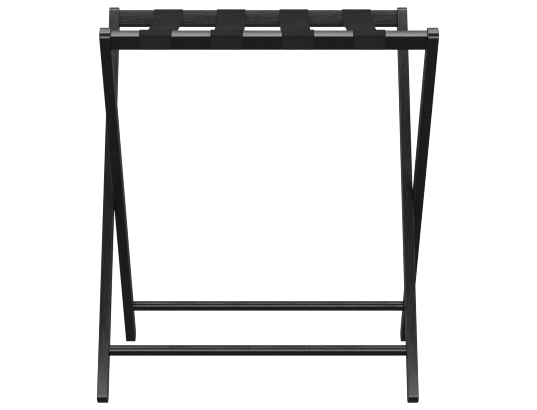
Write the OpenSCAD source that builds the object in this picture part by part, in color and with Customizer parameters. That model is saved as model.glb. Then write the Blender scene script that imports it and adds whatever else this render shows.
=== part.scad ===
// Folding luggage bench: two identical wooden frames cross in an X and turn on
// one pivot at each side. Each frame has two legs, a flat top rail and a round
// stretcher. Four webbing straps hang between the two top rails.
// The origin is on the floor, under the middle of the bench. +X is to the right,
// +Y is towards the back and +Z is up. The front frame has its rail at the front
// and its feet at the back; the rear frame is the same frame turned half round.

/* [Frames] */
// Outer width of one leg frame
frame_w = 520; // [440:5:620]
// Lean of each frame from the vertical, in degrees
lean = 29.8; // [27:0.1:32]
// Length of a leg above the pivot
leg_up = 350.5; // [330:0.5:370]
// Length of a leg below the pivot
leg_down = 344.2; // [330:0.2:370]
// Thickness of a leg, across the bench
leg_t = 17; // [16:0.5:22]
// Depth of a leg, seen from the side
leg_d = 26; // [24:0.5:32]
// Radius on the corners of the leg ends, seen from the side
leg_end_r = 8.8; // [6:0.1:11]
// Depth of the flat sanded on the bottom corner of each foot
foot_flat = 0.9; // [0.5:0.1:2]
// Gap between the two legs that cross at each side
leg_gap = 0.7; // [0.6:0.1:1.5]

/* [Top rails] */
// Height of a rail, along the leg
rail_h = 26.4; // [24:0.2:32]
// Thickness of a rail, across the leg
rail_d = 16.4; // [14:0.2:20]
// Distance of the rail's top below the leg's end
rail_drop = 5.4; // [3:0.1:12]
// Radius along the four long edges of a rail
rail_r = 1; // [0.6:0.1:4]
// Diameter of the dowel pins that hold a rail to its legs
pin_d = 6; // [5:0.5:8]
// Length of those dowel pins
pin_l = 30; // [26:1:36]

/* [Stretchers] */
// Diameter of a round stretcher
stretcher_d = 17.5; // [14:0.5:20]
// Distance of the stretcher below the pivot, along the leg
stretcher_at = 258.5; // [230:0.5:290]
// Diameter of the round tenon at each end of a stretcher
tenon_d = 11; // [9:0.5:13]
// Length of that tenon
tenon_l = 11; // [8:0.5:12]

/* [Straps] */
// Width of the webbing
strap_w = 50; // [40:1:60]
// Thickness of the webbing
strap_t = 1.4; // [1:0.1:2]
// Distance between the middles of two straps
strap_pitch = 109.4; // [90:0.2:115]
// Sideways place of the strap set from the middle of the bench
strap_shift = -1.5; // [-6:0.5:6]
// How far below the rail's top the flat of a strap hangs, along the leg
strap_drop = 24.3; // [20:0.1:24.5]
// Space left between a strap's flat and the rear rail
strap_end_gap = 4; // [4:0.5:12]
// Depth of the housing under a rail that takes the end of a strap
strap_seat = 2; // [1.5:0.1:3]

/* [Pivots] */
// Diameter of the barrel that the legs turn on
barrel_d = 8; // [7:0.5:9]
// Diameter of the flat heads
head_d = 13; // [11:0.5:15]
// Depth of the counterbores that hide the heads
head_pocket = 2.2; // [2:0.1:3]
// Thread diameter of the pivot screw
screw_d = 5; // [4:0.5:5]
// Size of the hexagon socket, across the flats
hex_af = 4; // [3:0.5:5]
// Outer diameter of the thin washer between the legs
washer_d = 22; // [16:1:24]

/* [Hidden] */
$fn = 64;
side = (leg_t + leg_gap) / 2;                 // each frame stands this far off the middle
pivot_z = (leg_down - leg_end_r) * cos(lean) + (leg_d / 2 - leg_end_r) * sin(lean)
          + leg_end_r - foot_flat;            // height of the pivot axis
x_lo = -frame_w / 2 + side;                   // outer face of the front frame's left leg
x_hi = frame_w / 2 + side;                    // outer face of the front frame's right leg
rail_top = leg_up - rail_drop;
rail_mid = rail_top - rail_h / 2;
rail_len = frame_w - 2 * leg_t;
pin_rise = rail_h / 2 - pin_d / 2 - 3.6;      // pins sit this far above and below the rail's middle
pin_in_leg = 11;
run = 0.05;                                   // running clearance on the radius
easy = 0.15;                                  // end play
lie = 0.05;                                   // webbing lies this far off the wood
staple_w = 10;
staple_wire = 1.2;
staple_thin = 0.6;
staple_deep = 6.5;
staple_off = 14;
strap_end = rail_d / 2 - 3;                   // the webbing ends here under the rail
seat_h = rail_h - strap_seat;                 // height of the wood inside a strap's loop
seat_mid = rail_top - seat_h / 2;
seat_play = 0.5;                              // a housing is this much longer than the webbing at each end
bead_y = rail_d / 2 + 0.4 + strap_t / 2;      // hinge line of a strap's flat, off the rail's inner face
bead_z = rail_top - strap_drop;
hinge_y = bead_y * cos(lean) - bead_z * sin(lean);
hinge_z = pivot_z + bead_y * sin(lean) + bead_z * cos(lean);
strap_x = [for (i = [-1.5:1:1.5]) strap_shift + i * strap_pitch];
wood = "#1c1c1c";
webbing = "#101010";
steel = "#55585c";
nylon = "#e8e6df";
beech = "#c8a878";

// ---- places ----

// Frame space: X across, Y square to the frame and towards the inside of the X,
// Z along the legs, with its zero on the pivot axis.
module front_frame() { translate([0, 0, pivot_z]) rotate([lean, 0, 0]) children(); }
module rear_frame() { rotate([0, 0, 180]) front_frame() children(); }

// ---- shapes ----

// A cylinder along +X from x = a to x = b
module along_x(d, a, b) { translate([a, 0, 0]) rotate([0, 90, 0]) cylinder(d = d, h = b - a); }

// A bar along +X with its four long edges rounded, y and z centred
module round_bar(len, dy, dz, r) {
    rotate([90, 0, 90]) linear_extrude(height = len) round_rect(dy, dz, r);
}

module round_rect(dx, dy, r) {
    square([dx - 2 * r, dy], center = true);
    square([dx, dy - 2 * r], center = true);
    for (sx = [-1, 1], sy = [-1, 1])
        translate([sx * (dx / 2 - r), sy * (dy / 2 - r)]) circle(r = r);
}

// One leg in frame space. Its inner side, where rail and stretcher meet it, is at
// x = a when inner = -1 (right leg) or x = a + leg_t when inner = 1 (left leg).
// The pocket for the pivot's head is always in the leg's +X face.
module leg(a, inner, bore) {
    face = inner > 0 ? a + leg_t : a;
    difference() {
        translate([a, 0, (leg_up - leg_down) / 2])
            round_bar(leg_t, leg_d, leg_up + leg_down, leg_end_r);
        along_x(bore, a - 1, a + leg_t + 1);
        along_x(head_d + 0.5, a + leg_t - head_pocket, a + leg_t + 1);
        for (s = [-1, 1])
            translate([0, 0, rail_mid + s * pin_rise])
                along_x(pin_d + 2 * run, inner > 0 ? face - pin_in_leg - 0.5 : face - 1,
                        inner > 0 ? face + 1 : face + pin_in_leg + 0.5);
        translate([0, 0, -stretcher_at])
            along_x(tenon_d + 2 * run, inner > 0 ? face - tenon_l - 0.3 : face - 1,
                    inner > 0 ? face + 1 : face + tenon_l + 0.3);
    }
}

// The floor takes a narrow flat off the bottom corner of each foot
module stand() {
    difference() {
        children();
        translate([-1000, -1000, -60]) cube([2000, 2000, 60]);
    }
}

// xs are the middles of the straps along this rail
module rail(xs) {
    difference() {
        translate([x_lo + leg_t, 0, rail_mid]) round_bar(rail_len, rail_d, rail_h, rail_r);
        for (s = [-1, 1]) translate([0, 0, rail_mid + s * pin_rise]) {
            along_x(pin_d + 2 * run, x_lo + leg_t - 1, x_lo + leg_t + pin_l - pin_in_leg + 0.5);
            along_x(pin_d + 2 * run, x_hi - leg_t - pin_l + pin_in_leg - 0.5, x_hi - leg_t + 1);
        }
        for (x = xs)
            translate([x - strap_w / 2 - seat_play, -rail_d, rail_mid - rail_h / 2 - 1])
                cube([strap_w + 2 * seat_play, rail_d + strap_end + 1, strap_seat + 1]);
    }
}

module rail_pins() {
    for (s = [-1, 1]) translate([0, 0, rail_mid + s * pin_rise]) {
        along_x(pin_d, x_lo + leg_t - pin_in_leg, x_lo + leg_t - pin_in_leg + pin_l);
        along_x(pin_d, x_hi - leg_t + pin_in_leg - pin_l, x_hi - leg_t + pin_in_leg);
    }
}

module stretcher() {
    translate([0, 0, -stretcher_at]) {
        along_x(stretcher_d, x_lo + leg_t, x_hi - leg_t);
        along_x(tenon_d, x_lo + leg_t - tenon_l, x_hi - leg_t + tenon_l);
    }
}

// Pivot hardware, built along +X from the outer face of the outer leg
module hex_socket() { rotate([0, 90, 0]) cylinder(d = hex_af / cos(30), h = 2.6, center = true, $fn = 6); }

barrel_end = 2 * leg_t + leg_gap - head_pocket + easy;

module barrel_nut() {
    difference() {
        union() {
            along_x(head_d, easy, head_pocket);
            along_x(barrel_d, head_pocket / 2, barrel_end);
        }
        along_x(screw_d, 12, barrel_end + 1);
        translate([easy, 0, 0]) hex_socket();
    }
}

module pivot_screw() {
    difference() {
        union() {
            along_x(head_d, barrel_end, 2 * leg_t + leg_gap - easy);
            along_x(screw_d - 2 * run, 15, barrel_end + 0.5);
        }
        translate([2 * leg_t + leg_gap - easy, 0, 0]) hex_socket();
    }
}

module pivot_washer() {
    difference() {
        along_x(washer_d, leg_t, leg_t + leg_gap - 0.2);
        along_x(barrel_d + 0.5, leg_t - 1, leg_t + leg_gap + 1);
    }
}

module left_pivot() { translate([-frame_w / 2 - side, 0, pivot_z]) children(); }
module right_pivot() { rotate([0, 0, 180]) left_pivot() children(); }

// Webbing round a rail, in frame space: over the top, down the outer face and into the
// housing under the rail, and on the inner face down to where the strap's flat begins.
module loop(x) {
    grow = 2 * (lie + strap_t);
    translate([x - strap_w / 2, 0, seat_mid])
        difference() {
            round_bar(strap_w, rail_d + grow, seat_h + grow, rail_r + grow / 2);
            translate([-1, 0, 0])
                round_bar(strap_w + 2, rail_d + 2 * lie, seat_h + 2 * lie, rail_r + lie);
            translate([-1, -rail_d / 2 - lie, -seat_h / 2 - lie])
                cube([strap_w + 2, rail_d / 2, seat_h / 2]);
            translate([-1, strap_end, -rail_h])
                cube([strap_w + 2, rail_d, rail_h + seat_h / 2 - strap_drop + strap_t / 2 + 0.5]);
        }
}

// The flat of a strap between the rails, with a rounded front end on its hinge line
module span(x) {
    translate([x - strap_w / 2, hinge_y, hinge_z]) {
        along_x(strap_t, 0, strap_w);
        translate([0, 0, -strap_t / 2]) cube([strap_w, -2 * hinge_y - strap_end_gap, strap_t]);
    }
}

// Two staples through the webbing's end under a rail
module staples(x) {
    for (s = [-1, 1])
        translate([x + s * staple_off, -0.5, seat_mid - seat_h / 2 - lie - strap_t]) {
            translate([-staple_w / 2, -staple_wire / 2, -staple_thin]) cube([staple_w, staple_wire, staple_thin]);
            for (k = [-1, 1])
                translate([k * (staple_w / 2 - staple_thin / 2) - staple_thin / 2, -staple_wire / 2, -staple_thin])
                    cube([staple_thin, staple_wire, staple_deep]);
        }
}

// ---- pieces ----

module front_frame_left_leg() { color(wood) stand() front_frame() leg(x_lo, 1, barrel_d + 2 * run); }
module front_frame_right_leg() { color(wood) stand() front_frame() leg(x_hi - leg_t, -1, barrel_d + 2 * run); }
module front_top_rail() { color(wood) front_frame() rail(strap_x); }
module front_frame_stretcher() { color(wood) front_frame() stretcher(); }
module rear_frame_left_leg() { color(wood) stand() rear_frame() leg(x_hi - leg_t, -1, barrel_d + 2 * run); }
module rear_frame_right_leg() { color(wood) stand() rear_frame() leg(x_lo, 1, barrel_d + 2 * run); }
module rear_top_rail() { color(wood) rear_frame() rail([for (x = strap_x) -x]); }
module rear_frame_stretcher() { color(wood) rear_frame() stretcher(); }
module front_rail_dowel_pins() { color(beech) front_frame() rail_pins(); }
module rear_rail_dowel_pins() { color(beech) rear_frame() rail_pins(); }
module left_pivot_barrel_nut() { color(steel) left_pivot() barrel_nut(); }
module left_pivot_screw() { color(steel) left_pivot() pivot_screw(); }
module left_pivot_washer() { color(nylon) left_pivot() pivot_washer(); }
module right_pivot_barrel_nut() { color(steel) right_pivot() barrel_nut(); }
module right_pivot_screw() { color(steel) right_pivot() pivot_screw(); }
module right_pivot_washer() { color(nylon) right_pivot() pivot_washer(); }
module front_loop(i) { color(webbing) front_frame() loop(strap_x[i]); }
module rear_loop(i) { color(webbing) rear_frame() loop(-strap_x[i]); }
module flat(i) { color(webbing) span(strap_x[i]); }
module strap_1_front_loop() { front_loop(0); }
module strap_2_front_loop() { front_loop(1); }
module strap_3_front_loop() { front_loop(2); }
module strap_4_front_loop() { front_loop(3); }
module strap_1_span() { flat(0); }
module strap_2_span() { flat(1); }
module strap_3_span() { flat(2); }
module strap_4_span() { flat(3); }
module strap_1_rear_loop() { rear_loop(0); }
module strap_2_rear_loop() { rear_loop(1); }
module strap_3_rear_loop() { rear_loop(2); }
module strap_4_rear_loop() { rear_loop(3); }
module front_strap_staples() { color(steel) front_frame() for (x = strap_x) staples(x); }
module rear_strap_staples() { color(steel) rear_frame() for (x = strap_x) staples(-x); }

front_frame_left_leg();
front_frame_right_leg();
front_top_rail();
front_frame_stretcher();
rear_frame_left_leg();
rear_frame_right_leg();
rear_top_rail();
rear_frame_stretcher();
front_rail_dowel_pins();
rear_rail_dowel_pins();
left_pivot_barrel_nut();
left_pivot_screw();
left_pivot_washer();
right_pivot_barrel_nut();
right_pivot_screw();
right_pivot_washer();
strap_1_front_loop();
strap_2_front_loop();
strap_3_front_loop();
strap_4_front_loop();
strap_1_span();
strap_2_span();
strap_3_span();
strap_4_span();
strap_1_rear_loop();
strap_2_rear_loop();
strap_3_rear_loop();
strap_4_rear_loop();
front_strap_staples();
rear_strap_staples();
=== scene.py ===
import math

import bmesh
import bpy
import numpy as np
from mathutils import Matrix, Vector


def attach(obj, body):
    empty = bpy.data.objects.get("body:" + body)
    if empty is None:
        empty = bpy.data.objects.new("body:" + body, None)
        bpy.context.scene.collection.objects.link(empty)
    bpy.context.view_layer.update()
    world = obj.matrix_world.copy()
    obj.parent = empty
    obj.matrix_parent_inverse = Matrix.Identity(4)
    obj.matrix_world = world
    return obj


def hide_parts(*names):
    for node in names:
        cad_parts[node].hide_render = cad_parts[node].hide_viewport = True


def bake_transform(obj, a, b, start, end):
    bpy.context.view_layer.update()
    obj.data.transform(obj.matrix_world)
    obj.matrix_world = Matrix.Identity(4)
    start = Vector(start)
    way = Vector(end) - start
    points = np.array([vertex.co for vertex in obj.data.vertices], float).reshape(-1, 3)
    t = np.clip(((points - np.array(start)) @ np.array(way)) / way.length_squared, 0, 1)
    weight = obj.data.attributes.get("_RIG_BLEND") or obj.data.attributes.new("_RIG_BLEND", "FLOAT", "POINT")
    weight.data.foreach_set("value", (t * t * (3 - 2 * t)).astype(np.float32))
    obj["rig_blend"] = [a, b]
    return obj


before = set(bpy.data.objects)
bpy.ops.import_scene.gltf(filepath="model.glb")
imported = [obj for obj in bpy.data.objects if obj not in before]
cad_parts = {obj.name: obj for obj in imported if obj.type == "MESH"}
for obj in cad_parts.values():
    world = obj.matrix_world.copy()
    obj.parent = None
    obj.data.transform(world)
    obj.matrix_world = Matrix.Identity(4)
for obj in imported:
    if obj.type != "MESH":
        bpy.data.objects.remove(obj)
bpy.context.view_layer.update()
scene = bpy.context.scene
MM = 0.001

# ------------------------------------------------------------------ sizes, in millimetres, as in the CAD model
LEAN = 29.8                      # lean of each leg frame from upright, degrees
PIVOT_Z = 301.035824             # height of the fold axis
FOLD = 54.5                      # full travel of the fold, degrees
LEG_T, LEG_D = 17.0, 26.0        # leg thickness and depth
LEG_BOTTOM, LEG_TOP = -344.2, 350.5
LEG_END_R = 8.8
LEG_X = {"inner": -251.15, "outer": 251.85}      # low X of each leg in its own frame's space
RAIL_X = (-234.15, 251.85)
RAIL_T, RAIL_Z, RAIL_R = 16.4, (318.7, 345.1), 0.7
RAIL_CROWN = (3.0, 2.0)          # how far a rail's top and side faces have turned at their edges, degrees
RAIL_TAPER = 2.1                 # how far a rail's inner face leans out of square, degrees
SEAT, SEAT_END = 2.0, 6.2        # depth of a strap's housing under a rail, and where it stops
STRETCHER_Z, STRETCHER_D = -258.5, 17.5
POCKET_D, POCKET_H = 13.5, 2.2
STRAP_W, STRAP_T = 50.0, 1.4
STRAP_X = (-165.6, -56.2, 53.2, 162.6)

C, S = math.cos(math.radians(LEAN)), math.sin(math.radians(LEAN))
FRONT = Matrix.Translation((0, 0, PIVOT_Z * MM)) @ Matrix.Rotation(math.radians(LEAN), 4, "X")
REAR = Matrix.Rotation(math.pi, 4, "Z") @ FRONT


# ------------------------------------------------------------------ camera, at the photograph's angle
cam = bpy.data.objects.new("camera", bpy.data.cameras.new("camera"))
scene.collection.objects.link(cam)
cam.location = (0.0, -2.52758, 0.859727)
cam.rotation_euler = (math.radians(90 - 12.66421), 0, 0)
cam.data.sensor_fit = "HORIZONTAL"
cam.data.sensor_width = 36.0
cam.data.lens = 1535.234 * 36.0 / 537
cam.data.shift_x = (268.5 - 263.313) / 537
cam.data.clip_start, cam.data.clip_end = 0.05, 200
scene.camera = cam
scene.view_settings.view_transform = "Standard"
scene.view_settings.look = "None"
scene.cycles.filter_width = 1.1              # crisp outlines


# ------------------------------------------------------------------ node helpers
class Graph:
    """Builds a shader node tree; any input may be a socket or a constant."""

    def __init__(self, tree):
        self.tree = tree

    def add(self, kind, **props):
        n = self.tree.nodes.new(kind)
        for k, v in props.items():
            setattr(n, k, v)
        return n

    def put(self, socket, value):
        if isinstance(value, bpy.types.NodeSocket):
            self.tree.links.new(value, socket)
        elif value is not None:
            socket.default_value = value

    def math(self, op, a, b=None, c=None, clamp=False):
        n = self.add("ShaderNodeMath", operation=op, use_clamp=clamp)
        for s, v in zip(n.inputs, (a, b, c)):
            self.put(s, v)
        return n.outputs[0]

    def xyz(self, x, y, z):
        n = self.add("ShaderNodeCombineXYZ")
        for s, v in zip(n.inputs, (x, y, z)):
            self.put(s, v)
        return n.outputs[0]

    def split(self, vector):
        n = self.add("ShaderNodeSeparateXYZ")
        self.put(n.inputs[0], vector)
        return n.outputs

    def noise(self, vector, scale=1.0, detail=2.0, rough=0.5, distort=0.0):
        n = self.add("ShaderNodeTexNoise", noise_dimensions="3D")
        self.put(n.inputs["Vector"], vector)
        for k, v in (("Scale", scale), ("Detail", detail), ("Roughness", rough), ("Distortion", distort)):
            self.put(n.inputs[k], v)
        return n.outputs[0]

    def remap(self, value, a, b, lo=0.0, hi=1.0, smooth=False):
        n = self.add("ShaderNodeMapRange", clamp=True)
        if smooth:
            n.interpolation_type = "SMOOTHSTEP"
        for s, v in zip(n.inputs, (value, a, b, lo, hi)):
            self.put(s, v)
        return n.outputs[0]

    def mix(self, fac, a, b):
        n = self.add("ShaderNodeMix", data_type="RGBA", clamp_factor=True)
        for s, v in ((n.inputs[0], fac), (n.inputs[6], a), (n.inputs[7], b)):
            self.put(s, v)
        return n.outputs[2]

    def attribute(self, name):
        return self.add("ShaderNodeAttribute", attribute_name=name).outputs["Fac"]

    def bump(self, height, strength, distance):
        n = self.add("ShaderNodeBump")
        n.inputs["Strength"].default_value = strength
        n.inputs["Distance"].default_value = distance
        self.put(n.inputs["Height"], height)
        return n.outputs[0]


def material(name):
    m = bpy.data.materials.new(name)
    m.use_nodes = True
    m.node_tree.nodes.clear()
    g = Graph(m.node_tree)
    out = g.add("ShaderNodeOutputMaterial")
    bsdf = g.add("ShaderNodeBsdfPrincipled")
    g.put(out.inputs["Surface"], bsdf.outputs[0])
    return m, g, bsdf


def grey(v, warm=0.0):
    return (v * (1 + warm), v, v * (1 - warm), 1.0)


# ------------------------------------------------------------------ materials
def black_wood(name, grain, seed, gloss=0.52, fleck=0.30, wave=1.0):
    """Black-stained open-pored wood under a satin lacquer, its grain along the piece's own axis."""
    m, g, bsdf = material(name)
    x, y, z = g.split(g.add("ShaderNodeTexCoord").outputs["Object"])
    along, a, b = (z, x, y) if grain == "Z" else (x, y, z)
    drift = g.noise(g.xyz(g.math("MULTIPLY_ADD", a, 20, seed), g.math("MULTIPLY", b, 20), g.math("MULTIPLY", along, 5)), detail=1)
    drift = g.math("MULTIPLY", g.math("SUBTRACT", drift, 0.5), 0.006)
    a, b = g.math("ADD", a, drift), g.math("SUBTRACT", b, drift)

    def fibre(across, run, detail, shift):
        return g.noise(
            g.xyz(
                g.math("MULTIPLY_ADD", a, across, seed + shift),
                g.math("MULTIPLY_ADD", b, across, seed * 0.7 + shift),
                g.math("MULTIPLY_ADD", along, run, seed * 1.3),
            ),
            detail=detail,
            rough=0.55,
        )

    fine = fibre(900, 22, 3, 0.0)
    slow = fibre(360, 26, 2, 11.0)
    rings = fibre(130, 5.0, 2, 17.0)
    figure = g.remap(g.noise(g.xyz(g.math("MULTIPLY", a, 15), g.math("MULTIPLY", b, 15), g.math("MULTIPLY_ADD", along, 7.0, seed * 2.1)), detail=1), 0.42, 0.66, 0.35, 1.3, smooth=True)
    pores = g.remap(fibre(1300, 38, 1, 23.0), 0.60, 0.70, smooth=True)
    flecks = g.remap(fibre(640, 75, 1, 41.0), 0.66, 0.75, smooth=True)
    tone = g.math("ADD", g.math("MULTIPLY", fine, 0.4), g.math("MULTIPLY_ADD", rings, 0.3, g.math("MULTIPLY", slow, 0.3)))
    tone = g.remap(tone, 0.36, 0.64)
    colour = g.mix(tone, grey(0.0072, -0.02), grey(0.0112, -0.02))
    colour = g.mix(g.math("MULTIPLY", pores, 0.75), colour, grey(0.0022))
    colour = g.mix(g.math("MULTIPLY", flecks, fleck), colour, grey(0.052, 0.03))
    rub = g.math("MULTIPLY", g.attribute("edge"), g.remap(fibre(260, 45, 2, 5.0), 0.46, 0.70))
    colour = g.mix(g.math("MULTIPLY", rub, 0.30), colour, grey(0.055, 0.06))
    rough = g.remap(tone, 0.0, 1.0, 0.18, 0.26)
    rough = g.math("ADD", rough, g.math("MULTIPLY", pores, 0.14))
    rough = g.math("ADD", rough, g.math("MULTIPLY", rub, 0.10))
    waves = g.math("MULTIPLY", g.math("MULTIPLY_ADD", slow, 0.012 * wave, g.math("MULTIPLY", rings, 0.024 * wave)), figure)
    height = g.math("MULTIPLY_ADD", fine, 0.0045, waves)      # in mm
    height = g.math("SUBTRACT", height, g.math("MULTIPLY", pores, 0.010))
    height = g.math("MULTIPLY", height, g.math("MULTIPLY_ADD", g.attribute("edge"), -0.6, 1.0))      # smoother where the edges are eased
    g.put(bsdf.inputs["Base Color"], colour)
    g.put(bsdf.inputs["Roughness"], rough)
    g.put(bsdf.inputs["Normal"], g.bump(height, 1.0, 0.001))
    bsdf.inputs["Specular IOR Level"].default_value = gloss
    return m


def webbing(name):
    """Matte black webbing: warp ribs along the strap, weft picks across it, tight selvedges."""
    m, g, bsdf = material(name)
    u, v, _ = g.split(g.add("ShaderNodeUVMap", uv_map="weave").outputs[0])      # 1 unit is 100 mm
    u, v = g.math("MULTIPLY", u, 100.0), g.math("MULTIPLY", v, 100.0)
    warp, weft = 1.25, 0.95                                                       # yarn pitch in mm
    cu, cv = g.math("DIVIDE", u, warp), g.math("DIVIDE", v, weft)
    side = g.math("MODULO", g.math("FLOOR", cu), 2.0)
    rib = g.math("ABSOLUTE", g.math("SINE", g.math("MULTIPLY", cu, math.pi)))
    pick = g.math("MULTIPLY_ADD", g.math("SINE", g.math("MULTIPLY_ADD", cv, math.pi, g.math("MULTIPLY", side, math.pi))), 0.5, 0.5)
    weave = g.math("MULTIPLY", g.math("POWER", rib, 0.6), g.math("MULTIPLY_ADD", pick, 0.65, 0.35))
    from_edge = g.math("MINIMUM", u, g.math("SUBTRACT", STRAP_W, u))
    selvedge = g.remap(from_edge, 2.3, 2.6, 1.0, 0.0)
    picks = g.math("ABSOLUTE", g.math("SINE", g.math("MULTIPLY", v, math.pi / 0.8)))
    height = g.math("ADD", g.math("MULTIPLY", weave, g.math("SUBTRACT", 1.0, selvedge)), g.math("MULTIPLY", picks, g.math("MULTIPLY", selvedge, 0.8)))
    p = g.add("ShaderNodeTexCoord").outputs["Object"]
    fuzz = g.noise(p, 2400, 2, 0.6)
    cloudy = g.noise(p, 28, 3, 0.55)
    # painted shade: the colour is lighter on the weave's raised yarns and darker in its hollows; fuzz and cloud add
    # random tone to the yarn
    tone = g.math("ADD", g.math("MULTIPLY", height, 0.55), g.math("ADD", g.math("MULTIPLY", fuzz, 0.35), g.math("MULTIPLY", cloudy, 0.35)))
    colour = g.mix(g.remap(tone, 0.2, 1.0), grey(0.0082), grey(0.0280, 0.01))
    colour = g.mix(g.math("MULTIPLY", selvedge, 0.35), colour, grey(0.0125))
    g.put(bsdf.inputs["Base Color"], colour)
    g.put(bsdf.inputs["Roughness"], g.remap(fuzz, 0.3, 0.7, 0.72, 0.9))
    g.put(bsdf.inputs["Normal"], g.bump(height, 0.55, 0.00022))
    bsdf.inputs["Specular IOR Level"].default_value = 0.02
    bsdf.inputs["Sheen Weight"].default_value = 0.01
    bsdf.inputs["Sheen Roughness"].default_value = 0.5
    return m


def black_steel(name):
    """Black-oxide steel: satin, cloudy, with fine turning marks and rubbed spots."""
    m, g, bsdf = material(name)
    p = g.add("ShaderNodeTexCoord").outputs["Object"]
    cloud = g.noise(p, 320, 3, 0.6)
    scratch = g.noise(p, 5200, 2, 0.6)
    rub = g.remap(g.math("MULTIPLY_ADD", cloud, 0.7, g.math("MULTIPLY", scratch, 0.3)), 0.56, 0.70)
    g.put(bsdf.inputs["Base Color"], g.mix(g.math("MULTIPLY", rub, 0.6), grey(0.045, -0.03), grey(0.17, 0.02)))
    g.put(bsdf.inputs["Roughness"], g.remap(cloud, 0.3, 0.7, 0.30, 0.48))
    g.put(bsdf.inputs["Normal"], g.bump(g.math("MULTIPLY_ADD", scratch, 0.5, cloud), 0.12, 0.0001))
    bsdf.inputs["Metallic"].default_value = 0.9
    return m


def black_nylon(name):
    """Moulded black nylon: fine spark-eroded texture."""
    m, g, bsdf = material(name)
    p = g.add("ShaderNodeTexCoord").outputs["Object"]
    grain = g.noise(p, 2600, 2, 0.6)
    cloud = g.noise(p, 140, 2, 0.5)
    g.put(bsdf.inputs["Base Color"], g.mix(cloud, grey(0.012), grey(0.026)))
    g.put(bsdf.inputs["Roughness"], g.remap(grain, 0.3, 0.7, 0.42, 0.62))
    g.put(bsdf.inputs["Normal"], g.bump(grain, 0.2, 0.0001))
    bsdf.inputs["Specular IOR Level"].default_value = 0.4
    return m


def beech(name):
    """Raw beech dowel stock: straight fibre along X with short dark flecks."""
    m, g, bsdf = material(name)
    x, y, z = g.split(g.add("ShaderNodeTexCoord").outputs["Object"])
    fine = g.noise(g.xyz(g.math("MULTIPLY", x, 60), g.math("MULTIPLY", y, 1400), g.math("MULTIPLY", z, 1400)), detail=3)
    fleck = g.remap(g.noise(g.xyz(g.math("MULTIPLY", x, 260), g.math("MULTIPLY", y, 2200), g.math("MULTIPLY", z, 2200)), detail=1), 0.62, 0.72)
    colour = g.mix(fine, (0.50, 0.33, 0.19, 1), (0.62, 0.44, 0.27, 1))
    g.put(bsdf.inputs["Base Color"], g.mix(g.math("MULTIPLY", fleck, 0.5), colour, (0.30, 0.17, 0.09, 1)))
    g.put(bsdf.inputs["Roughness"], g.remap(fine, 0.2, 0.8, 0.55, 0.72))
    g.put(bsdf.inputs["Normal"], g.bump(fine, 0.25, 0.0002))
    return m


def pale_floor(name, glow):
    """White sweep, lit from within so that it stays even to the horizon."""
    m, g, bsdf = material(name)
    p = g.add("ShaderNodeTexCoord").outputs["Object"]
    tone = g.noise(p, 3.0, 2, 0.5)
    g.put(bsdf.inputs["Base Color"], g.mix(tone, grey(0.12), grey(0.13)))
    g.put(bsdf.inputs["Roughness"], g.remap(g.noise(p, 40, 3, 0.6), 0.3, 0.7, 0.75, 0.9))
    bsdf.inputs["Specular IOR Level"].default_value = 0.0
    g.put(bsdf.inputs["Emission Color"], g.mix(tone, grey(0.99), grey(1.0)))
    bsdf.inputs["Emission Strength"].default_value = glow
    return m


# ------------------------------------------------------------------ mesh helpers
def rounded_loop(y0, y1, z0, z1, r, steps):
    """Closed loop of a rectangle with round corners, with the share of each point on its corner's arc."""
    pts, on_arc = [], []
    for cy, cz, start in ((y1 - r, z0 + r, -90), (y1 - r, z1 - r, 0), (y0 + r, z1 - r, 90), (y0 + r, z0 + r, 180)):
        for i in range(steps + 1):
            a = math.radians(start + 90 * i / steps)
            pts.append((cy + r * math.cos(a), cz + r * math.sin(a)))
            on_arc.append(math.sin(math.pi * i / steps))
    return pts, on_arc


def crowned_loop(y0, y1, z0, z1, r, turns, lean, steps=4, runs=8):
    """Closed loop of a rectangle with round corners, slightly crowned sides and its +Y side leaning in towards the bottom, with
    the share of each point on its corner's arc."""
    ta, tb = (math.radians(t) for t in turns)
    ka, kb = math.tan(ta / 2), math.tan(tb / 2)
    hy, hz, my, mz = (y1 - y0) / 2, (z1 - z0) / 2, (y0 + y1) / 2, (z0 + z1) / 2
    a, b = hy - r * (math.cos(tb) - math.sin(ta)), hz - r * (math.cos(ta) - math.sin(tb))
    ey, ez = (a - kb * b) / (1 - ka * kb), (b - ka * a) / (1 - ka * kb)
    pts, on_arc = [], []
    for start, long, high, turn, after in ((-90, ey, hz, ta, tb), (0, ez, hy, tb, ta), (90, ey, hz, ta, tb), (180, ez, hy, tb, ta)):
        face = math.radians(start)                                                     # the way this side faces
        fy, fz, ty, tz = math.cos(face), math.sin(face), -math.sin(face), math.cos(face)
        big = long / math.sin(turn)
        for i in range(1, runs):
            t = turn * (2 * i / runs - 1)
            along, up = big * math.sin(t), high - big * (1 - math.cos(t))
            pts.append((my + fy * up + ty * along, mz + fz * up + tz * along))
            on_arc.append(0.0)
        cy, cz = long - r * math.sin(turn), high - big * (1 - math.cos(turn)) - r * math.cos(turn)      # the next corner's centre
        for i in range(steps + 1):
            t = turn + (math.pi / 2 - turn - after) * i / steps
            along, up = cy + r * math.sin(t), cz + r * math.cos(t)
            pts.append((my + fy * up + ty * along, mz + fz * up + tz * along))
            on_arc.append(math.sin(math.pi * i / steps))
    slope = math.tan(math.radians(lean))
    pts = [(y - max(y - my, 0.0) / hy * (z1 - z) * slope, z) for y, z in pts]
    return pts, on_arc


def loft(bm, rings):
    """Quads between successive closed rings of vertices."""
    for lower, upper in zip(rings, rings[1:]):
        n = len(lower)
        for i in range(n):
            bm.faces.new((lower[i], lower[(i + 1) % n], upper[(i + 1) % n], upper[i]))


def ring_edges(bm, ring):
    return [bm.edges.get((ring[i], ring[(i + 1) % len(ring)])) or bm.edges.new((ring[i], ring[(i + 1) % len(ring)])) for i in range(len(ring))]


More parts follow.
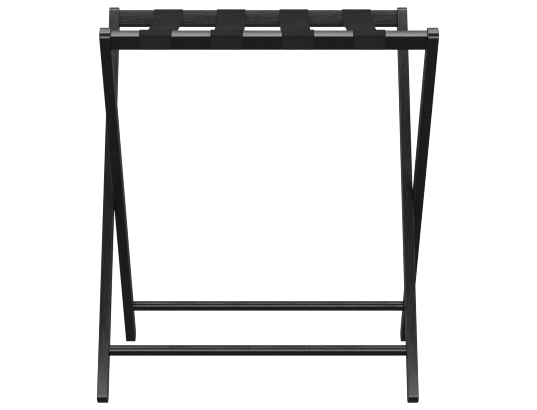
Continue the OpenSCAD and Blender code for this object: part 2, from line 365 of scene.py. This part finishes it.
def make_object(name, bm, world, mat, sharp=38):
    bmesh.ops.recalc_face_normals(bm, faces=bm.faces)
    me = bpy.data.meshes.new(name)
    bm.to_mesh(me)
    bm.free()
    for p in me.polygons:
        p.use_smooth = True
    me.set_sharp_from_angle(angle=math.radians(sharp))
    o = bpy.data.objects.new(name, me)
    scene.collection.objects.link(o)
    o.matrix_world = world
    me.materials.append(mat)
    wn = o.modifiers.new("weighted_normals", "WEIGHTED_NORMAL")
    wn.keep_sharp = True
    wn.weight = 100
    return o


def leg(name, x0, world, mat, edge_r=1.1, steps=4):
    """One leg: round-cornered ends, eased edges, a sunk pocket for the pivot's head, and a foot cut level."""
    bm = bmesh.new()
    edge = bm.verts.layers.float.new("edge")

    def ring(x, inset, worn):
        pts, _ = rounded_loop(-LEG_D / 2 + inset, LEG_D / 2 - inset, LEG_BOTTOM + inset, LEG_TOP - inset, LEG_END_R - inset, 12)
        made = [bm.verts.new((x * MM, y * MM, z * MM)) for y, z in pts]
        for v in made:
            v[edge] = worn
        return made

    rings = []
    for j in range(steps + 1):
        a = math.pi / 2 * j / steps
        rings.append(ring(x0 + edge_r * (1 - math.cos(a)), edge_r * (1 - math.sin(a)), math.sin(2 * a)))
    for j in range(steps, -1, -1):
        a = math.pi / 2 * j / steps
        rings.append(ring(x0 + LEG_T - edge_r * (1 - math.cos(a)), edge_r * (1 - math.sin(a)), math.sin(2 * a)))
    loft(bm, rings)
    bm.faces.new(rings[0])

    def circle(r, x, worn=0.0):
        made = [bm.verts.new((x * MM, r * math.cos(2 * math.pi * i / 48) * MM, r * math.sin(2 * math.pi * i / 48) * MM)) for i in range(48)]
        for v in made:
            v[edge] = worn
        return made

    face_x, r = x0 + LEG_T, POCKET_D / 2
    pocket = [circle(r + 0.35, face_x), circle(r + 0.12, face_x - 0.1, 0.8), circle(r, face_x - 0.35), circle(r, face_x - POCKET_H)]
    loft(bm, pocket)
    bm.faces.new(pocket[-1])
    bmesh.ops.triangle_fill(bm, use_beauty=True, edges=ring_edges(bm, rings[-1]) + ring_edges(bm, pocket[0]))
    floor = world.inverted()
    cut = bmesh.ops.bisect_plane(
        bm,
        geom=bm.verts[:] + bm.edges[:] + bm.faces[:],
        plane_co=floor @ Vector((0, 0, 0)),
        plane_no=floor.to_3x3() @ Vector((0, 0, 1)),
        clear_inner=True,
        dist=1e-7,
    )
    bmesh.ops.edgeloop_fill(bm, edges=[e for e in cut["geom_cut"] if isinstance(e, bmesh.types.BMEdge)])
    return make_object(name, bm, world, mat)


def bar(name, loop, worn, x0, x1, world, mat, ease=0.45, steps=3, inset=None):
    """A straight bar along X with eased ends; loop(inset) gives its section."""
    bm = bmesh.new()
    edge = bm.verts.layers.float.new("edge")

    def ring(x, i):
        made = [bm.verts.new((x * MM, y * MM, z * MM)) for y, z in loop(i)]
        for v, w in zip(made, worn):
            v[edge] = w
        return made

    rings = []
    for j in range(steps + 1):
        a = math.pi / 2 * j / steps
        rings.append(ring(x0 + ease * (1 - math.cos(a)), ease * (1 - math.sin(a))))
    runs = 24
    for k in range(1, runs):
        rings.append(ring(x0 + (x1 - x0) * k / runs, 0.0))
    for j in range(steps, -1, -1):
        a = math.pi / 2 * j / steps
        rings.append(ring(x1 - ease * (1 - math.cos(a)), ease * (1 - math.sin(a))))
    loft(bm, rings)
    bm.faces.new(rings[0])
    bm.faces.new(rings[-1])
    return make_object(name, bm, world, mat)


def cut_housings(rail, xs):
    """Cuts the shallow housings that take the straps' ends under a rail."""
    bm = bmesh.new()
    for x in xs:
        lo = Vector((x - STRAP_W / 2 - 0.12, -RAIL_T, RAIL_Z[0] - 4))
        hi = Vector((x + STRAP_W / 2 + 0.12, SEAT_END, RAIL_Z[0] + SEAT))
        place = Matrix.Translation((lo + hi) / 2 * MM) @ Matrix.Diagonal((*((hi - lo) * MM), 1.0))
        bmesh.ops.create_cube(bm, size=1.0, matrix=place)
    me = bpy.data.meshes.new("housings")
    bm.to_mesh(me)
    bm.free()
    tool = bpy.data.objects.new("housings", me)
    scene.collection.objects.link(tool)
    tool.matrix_world = rail.matrix_world
    cut = rail.modifiers.new("housings", "BOOLEAN")
    cut.operation, cut.solver, cut.object = "DIFFERENCE", "EXACT", tool
    rail.modifiers["weighted_normals"].show_viewport = False
    bpy.context.view_layer.update()
    done = bpy.data.meshes.new_from_object(rail.evaluated_get(bpy.context.evaluated_depsgraph_get()))
    done.name = rail.data.name
    rail.modifiers.remove(cut)
    rail.modifiers["weighted_normals"].show_viewport = True
    rail.data = done
    for p in done.polygons:
        p.use_smooth = True
    done.set_sharp_from_angle(angle=math.radians(38))
    bpy.data.objects.remove(tool)


# ------------------------------------------------------------------ the two wooden frames
for side, world, body, names in (
    ("front", FRONT, "front_frame", {"inner": "front_frame_left_leg", "outer": "front_frame_right_leg"}),
    ("rear", REAR, "rear_frame", {"inner": "rear_frame_right_leg", "outer": "rear_frame_left_leg"}),
):
    base = 3.0 if side == "front" else 57.0
    made = []
    for k, (place, node) in enumerate(names.items()):
        o = leg("wood_" + node, LEG_X[place], world, black_wood("black_wood_" + node, "Z", base + 7.3 * k, fleck=0.20, wave=0.55))
        made.append((o, node))
    z0, z1 = RAIL_Z

    def rail_loop(i):
        return crowned_loop(-RAIL_T / 2 + i, RAIL_T / 2 - i, z0 + i, z1 - i, RAIL_R - i, RAIL_CROWN, RAIL_TAPER)[0]

    rail_worn = crowned_loop(-RAIL_T / 2, RAIL_T / 2, z0, z1, RAIL_R, RAIL_CROWN, RAIL_TAPER)[1]
    fleck, wave = (0.22, 0.35) if side == "front" else (0.48, 0.42)
    o = bar(f"wood_{side}_top_rail", rail_loop, rail_worn, RAIL_X[0], RAIL_X[1], world, black_wood(f"black_wood_{side}_rail", "X", base + 19.1, fleck=fleck, wave=wave))
    cut_housings(o, [x if side == "front" else -x for x in STRAP_X])
    made.append((o, f"{side}_top_rail"))

    def round_loop(i):
        r = STRETCHER_D / 2 - i
        return [(r * math.cos(2 * math.pi * k / 72), STRETCHER_Z + r * math.sin(2 * math.pi * k / 72)) for k in range(72)]

    o = bar(f"wood_{side}_stretcher", round_loop, [0.0] * 72, RAIL_X[0], RAIL_X[1], world, black_wood(f"black_wood_{side}_stretcher", "X", base + 31.7, gloss=0.45, wave=0.6), ease=0.6)
    made.append((o, f"{side}_frame_stretcher"))
    for o, node in made:
        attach(o, body)
        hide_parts(node)


# ------------------------------------------------------------------ straps
def to_world(y, z):
    """A point of the front frame's side view, in the bench's own side view."""
    return y * C - z * S, PIVOT_Z + y * S + z * C


def strap_path():
    """Middle line of a strap in the side view, from under the front rail to the middle, then mirrored; with the index where it leaves the rail."""
    gap = 0.05 + STRAP_T / 2
    half, z0, z1 = RAIL_T / 2, RAIL_Z[0] + SEAT, RAIL_Z[1]

    def bend(y, z, r, sy, sz, a0, a1):
        """A bend of the middle line round a corner of the rail; sy and sz say which way the corner points."""
        inset = r - gap
        return [(y - sy * inset + r * math.cos(math.radians(a)), z - sz * inset + r * math.sin(math.radians(a))) for a in np.linspace(a0, a1, 11)]

    def straight(p, q, n):
        return [(p[0] + (q[0] - p[0]) * i / n, p[1] + (q[1] - p[1]) * i / n) for i in range(1, n)]

    leave = 47.0                                             # how steeply the strap drops behind the rail, degrees
    under = bend(-half, z0, 1.5, -1, -1, -90, -180)
    over = bend(-half, z1, 3.4, -1, 1, 180, 90)
    behind = bend(half, z1, 2.4, 1, 1, 90, 90 - LEAN - leave)
    end = (SEAT_END - 1, z0 - gap)
    pts = [end] + straight(end, under[0], 7) + under + straight(under[-1], over[0], 12) + over + straight(over[-1], behind[0], 6) + behind
    path = [to_world(y, z) for y, z in pts]
    left_at = len(path) - 1
    y0, z0w = path[-1]
    drop = z0w - 585.5
    soft = drop / math.tan(math.radians(leave))
    y, step = y0, 1.1
    ys = []
    while y + step < 0:
        y += step
        ys.append(y)
        step = min(step * 1.06, 4.2)
    ys = [y0 + (v - y0) * (-y0) / (ys[-1] + step - y0) for v in ys]
    path += [(v, z0w - drop * (1 - math.exp(-(v - y0) / soft))) for v in ys]
    path.append((0.0, 585.5))
    return path, left_at


half_path, left_at = strap_path()
path = np.array(half_path + [(-y, z) for y, z in half_path[-2::-1]])
mid = len(half_path) - 1
tangent = np.gradient(path, axis=0)
tangent /= np.linalg.norm(tangent, axis=1)[:, None]
normal = np.stack([-tangent[:, 1], tangent[:, 0]], axis=1)          # away from the rail, and up between the rails
normal[mid] = (0.0, 1.0)
run = np.concatenate([[0], np.cumsum(np.linalg.norm(np.diff(path, axis=0), axis=1))])


def section():
    """Closed section of the webbing: (across, off the middle line), rounded selvedges a little thicker than the field."""
    w, t = STRAP_W / 2, STRAP_T / 2
    xs = list(np.linspace(-w + 0.75, w - 0.75, 45))

    def thick(x):
        d = w - abs(x)
        return t * (0.90 + 0.10 * math.exp(-((d - 1.3) / 1.3) ** 2))

    top = [(x, thick(x)) for x in xs]
    right = [(w - 0.75 + 0.75 * math.sin(a), thick(xs[-1]) * math.cos(a)) for a in np.linspace(0, math.pi, 7)[1:-1]]
    low = [(x, -thick(x)) for x in xs[::-1]]
    left = [(-w + 0.75 - 0.75 * math.sin(a), -thick(xs[0]) * math.cos(a)) for a in np.linspace(0, math.pi, 7)[1:-1]]
    return np.array(top + right + low + left)


SECTION = section()


def folded_share(i, n):
    """How far a point of the strap turns with the rear frame: 0 on the front rail, 1 on the rear rail, and between them
    the share that lets the webbing hang in a narrow loop between the two rails when the bench is folded."""
    if i > mid:
        return 1.0 - folded_share(2 * mid - i, n)
    if i <= left_at:
        return 0.0
    full, lean = math.radians(FOLD), math.radians(LEAN)
    between = full / 2                                       # the folded rails' middle plane, from the open bench's upright
    pt = path[i] + n * normal[i]
    r, phi = math.hypot(pt[0], pt[1] - PIVOT_Z), math.atan2(pt[0], pt[1] - PIVOT_Z)
    first = path[left_at] + n * normal[left_at]
    r_first, phi_first = math.hypot(first[0], first[1] - PIVOT_Z), math.atan2(first[0], first[1] - PIVOT_Z)
    off_first = r_first * math.sin(-between - phi_first)
    hang = r * math.sin(lean - between) - (RAIL_T / 2 + STRAP_T / 2 + 0.35) - n
    m = min(max((r_first - r) / 20.0, 0.0), 1.0)
    m = m * m * (3 - 2 * m)
    off = (1 - m) * off_first + m * hang
    q = min(max((r - (585.5 - PIVOT_Z + n)) / (4.0 - n), 0.0), 1.0)
    off *= math.sqrt(1 - (1 - q) ** 2)
    return (phi - (-between - math.asin(off / r))) / full


def strap(name, x_mid, mat, seed):
    rows, cols = len(path), len(SECTION)
    sag = np.clip((np.arange(rows) - left_at) / 12.0, 0, 1) * np.clip((2 * mid - left_at - np.arange(rows)) / 12.0, 0, 1)
    co = np.zeros((rows, cols, 3))
    for i in range(rows):
        across, off = SECTION[:, 0], SECTION[:, 1]
        lift = sag[i] * (0.22 * math.sin(path[i, 0] / 31.0 + seed) + 0.16 * np.sin(path[i, 0] / 17.0 + across / 14.0 + 2.1 * seed) - 0.30 * (1 - (across / (STRAP_W / 2)) ** 2))
        co[i, :, 0] = x_mid + across + sag[i] * 0.25 * math.sin(path[i, 0] / 43.0 + 1.7 * seed)
        co[i, :, 1] = path[i, 0] + (off + lift) * normal[i, 0]
        co[i, :, 2] = path[i, 1] + (off + lift) * normal[i, 1]
    me = bpy.data.meshes.new(name)
    faces = []
    for i in range(rows - 1):
        for k in range(cols):
            j = (k + 1) % cols
            faces.append((i * cols + k, i * cols + j, (i + 1) * cols + j, (i + 1) * cols + k))
    faces.append(tuple(range(cols - 1, -1, -1)))
    faces.append(tuple((rows - 1) * cols + k for k in range(cols)))
    me.from_pydata([tuple(v) for v in (co.reshape(-1, 3) * MM)], [], faces)
    uv = me.uv_layers.new(name="weave")
    across = np.tile(SECTION[:, 0] + STRAP_W / 2, rows)
    along = np.repeat(run, cols)
    for loop in me.loops:
        uv.data[loop.index].uv = (across[loop.vertex_index] * 0.01, along[loop.vertex_index] * 0.01)
    bm = bmesh.new()
    bm.from_mesh(me)
    bmesh.ops.recalc_face_normals(bm, faces=bm.faces)
    bm.to_mesh(me)
    bm.free()
    for p in me.polygons:
        p.use_smooth = True
    me.set_sharp_from_angle(angle=math.radians(60))
    o = bpy.data.objects.new(name, me)
    scene.collection.objects.link(o)
    me.materials.append(mat)
    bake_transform(o, "front_frame", "rear_frame", start=(0, -0.1535, 0.6), end=(0, 0.1535, 0.6))
    share = np.array([[folded_share(i, SECTION[k, 1]) for k in range(cols)] for i in range(rows)], np.float32)
    me.attributes["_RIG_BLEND"].data.foreach_set("value", share.ravel())
    return o


webbing_mat = webbing("webbing")
for k, x_mid in enumerate(STRAP_X, 1):
    o = strap(f"webbing_strap_{k}", x_mid, webbing_mat, 1.0 + 1.37 * k)
    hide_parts(f"strap_{k}_front_loop", f"strap_{k}_span", f"strap_{k}_rear_loop")


# ------------------------------------------------------------------ finish of the carried-over hardware
steel, nylon, pins = black_steel("black_steel"), black_nylon("black_nylon"), beech("beech")
for name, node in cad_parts.items():
    if node.hide_render:
        continue
    mat = pins if "dowel" in name else nylon if "washer" in name else steel
    node.data.materials.clear()
    node.data.materials.append(mat)
    if "dowel" not in name:
        bevel = node.modifiers.new("eased_edges", "BEVEL")
        bevel.width = 0.00008 if "washer" in name or "staples" in name else 0.00025
        bevel.segments = 2
        bevel.limit_method = "ANGLE"
        bevel.angle_limit = math.radians(40)


# ------------------------------------------------------------------ floor and studio light
def sweep(name, rings, mat):
    """A round sheet of the studio floor or backdrop, through rings of (radius, height) in metres."""
    bm = bmesh.new()
    made = [[bm.verts.new((r * math.cos(2 * math.pi * k / 96), r * math.sin(2 * math.pi * k / 96), z)) for k in range(96)] for r, z in rings]
    loft(bm, made)
    if rings[0][1] == 0:
        bm.faces.new(made[0])
    bmesh.ops.recalc_face_normals(bm, faces=bm.faces)
    me = bpy.data.meshes.new(name)
    bm.to_mesh(me)
    bm.free()
    for f in me.polygons:
        f.use_smooth = True
    o = bpy.data.objects.new(name, me)
    scene.collection.objects.link(o)
    me.materials.append(mat)
    o.visible_glossy = False
    return o


sweep("floor", [(0.8, 0), (2.0, 0), (5.0, 0), (12.0, 0), (24.0, 0)], pale_floor("pale_floor", 0.98))
cove = [(24.0 + 4.0 * math.sin(math.radians(a)), 4.0 * (1 - math.cos(math.radians(a)))) for a in range(0, 91, 10)]
sweep("backdrop", cove + [(28.0, 8.0), (28.0, 14.0)], pale_floor("pale_backdrop", 1.0)).visible_diffuse = False


def light(name, kind, energy, place, aim, **props):
    data = bpy.data.lights.new(name, kind)
    data.energy = energy
    for k, v in props.items():
        setattr(data, k, v)
    o = bpy.data.objects.new(name, data)
    scene.collection.objects.link(o)
    o.location = place
    o.rotation_euler = (Vector(aim) - Vector(place)).to_track_quat("-Z", "Y").to_euler()
    o.visible_camera = False
    return o


def softbox(name, radiance, place, aim, wide, high):
    return light(name, "AREA", radiance * math.pi * wide * high, place, aim, shape="RECTANGLE", size=wide, size_y=high)


for name, radiance, x, wide in (
    ("overhead", 5.4, 0.0, 0.96),                            # falls off towards its two ends
    ("overhead_left", 3.1, -0.63, 0.30),
    ("overhead_right", 3.1, 0.63, 0.30),
    ("overhead_far_left", 1.8, -0.94, 0.32),
    ("overhead_far_right", 1.8, 0.94, 0.32),
):
    softbox(name, radiance, (x, -0.070, 1.355), (x, -0.070, 0), wide, 0.48).visible_diffuse = False
softbox("overhead_fill", 4.4, (0, -0.070, 1.400), (0, -0.070, 0), 2.2, 0.48).visible_glossy = False      # clear of the others' plane, where it would be lost
softbox("front_card", 5.2, (0, -1.0, 0.46), (0, 0, 0.46), 1.8, 0.48).visible_diffuse = False

world = bpy.data.worlds.new("studio")
scene.world = world
world.use_nodes = True
world.node_tree.nodes.clear()
wg = Graph(world.node_tree)
out = wg.add("ShaderNodeOutputWorld")
sky = wg.add("ShaderNodeBackground")
dx, dy, dz = wg.split(wg.add("ShaderNodeTexCoord").outputs["Generated"])
aside = wg.remap(wg.math("ABSOLUTE", dx), 0.35, 0.60, smooth=True)                 # the two side walls
above = wg.remap(dz, -0.10, -0.04, smooth=True)
band = wg.math("MULTIPLY", above, wg.remap(dz, 0.16, 0.30, 1.0, 0.0, smooth=True))
front = wg.remap(dy, -0.3, -0.7, smooth=True)
high = wg.remap(dz, 0.80, 0.95, smooth=True)
back = wg.remap(dy, 0.3, 0.7, smooth=True)
level = wg.math("MULTIPLY", band, wg.math("MULTIPLY_ADD", back, -0.55, wg.math("MULTIPLY_ADD", front, -0.45, 0.85)))
level = wg.math("ADD", level, wg.math("MULTIPLY", high, 0.6))
level = wg.math("ADD", level, wg.math("MULTIPLY_ADD", above, 0.09, 0.10))
panel = wg.math("MULTIPLY_ADD", wg.remap(dz, -0.20, 0.10, smooth=True), 1.38, 0.12)
panel = wg.math("MULTIPLY", panel, wg.remap(dz, 0.22, 0.50, 1.0, 0.10, smooth=True))
below = wg.math("MULTIPLY", wg.remap(dz, -0.25, -0.38, smooth=True), wg.remap(dz, -0.68, -0.50, smooth=True))
panel = wg.math("MULTIPLY_ADD", below, 0.30, panel)
panel = wg.math("MULTIPLY", panel, wg.remap(wg.math("ABSOLUTE", dx), 0.965, 0.995, 1.0, 0.65, smooth=True))
level = wg.math("ADD", wg.math("MULTIPLY", level, wg.math("SUBTRACT", 1.0, aside)), wg.math("MULTIPLY", aside, panel))
wg.put(sky.inputs["Color"], wg.xyz(level, level, level))
sky.inputs["Strength"].default_value = 1.0
wg.put(out.inputs["Surface"], sky.outputs[0])
